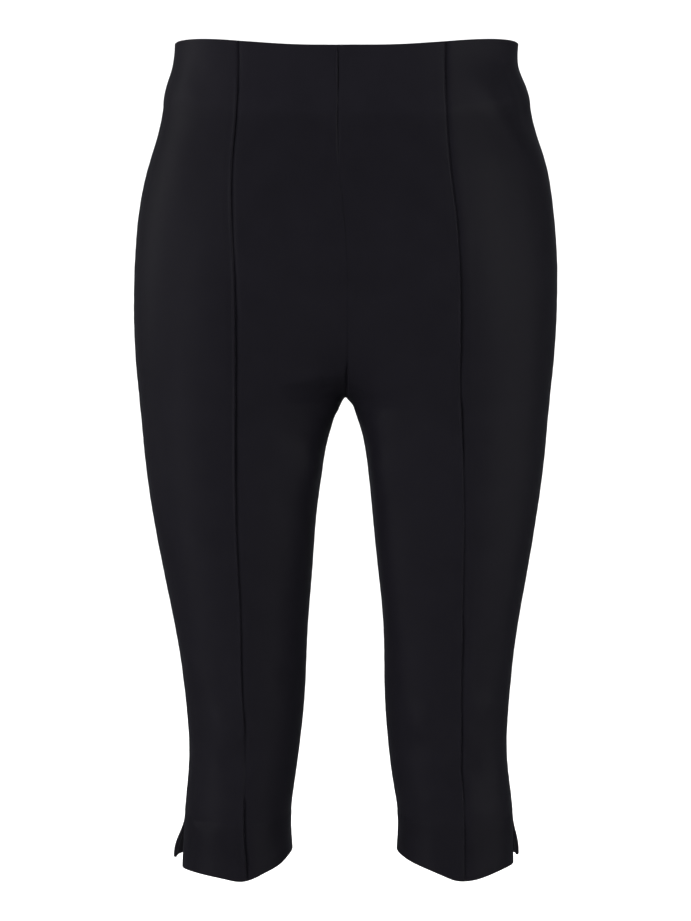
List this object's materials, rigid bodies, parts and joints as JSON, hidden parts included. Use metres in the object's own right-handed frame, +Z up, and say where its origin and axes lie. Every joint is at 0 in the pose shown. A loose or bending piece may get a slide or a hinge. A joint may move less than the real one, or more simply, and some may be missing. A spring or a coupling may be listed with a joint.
{
  "type": "capri pants",
  "caption": "High-waisted pull-on capri pants in plain dark stretch cloth, slim, with long front seams and side slits at the hems.",
  "frame": {"origin": "centre of the waist opening, level with the top edge at the side seams", "axes": "+Z up along the wearer's body, front towards -Y, the wearer's left towards +X"},
  "size_m": [0.3574, 0.2379, 0.706],
  "materials": {
    "stretch_cloth": "matte, fine black stretch weave"
  },
  "bodies": {
    "root": {"front_right": "stretch_cloth", "front_left": "stretch_cloth", "side_right": "stretch_cloth", "side_left": "stretch_cloth", "back_right": "stretch_cloth", "back_left": "stretch_cloth"}
  },
  "joints": []
}
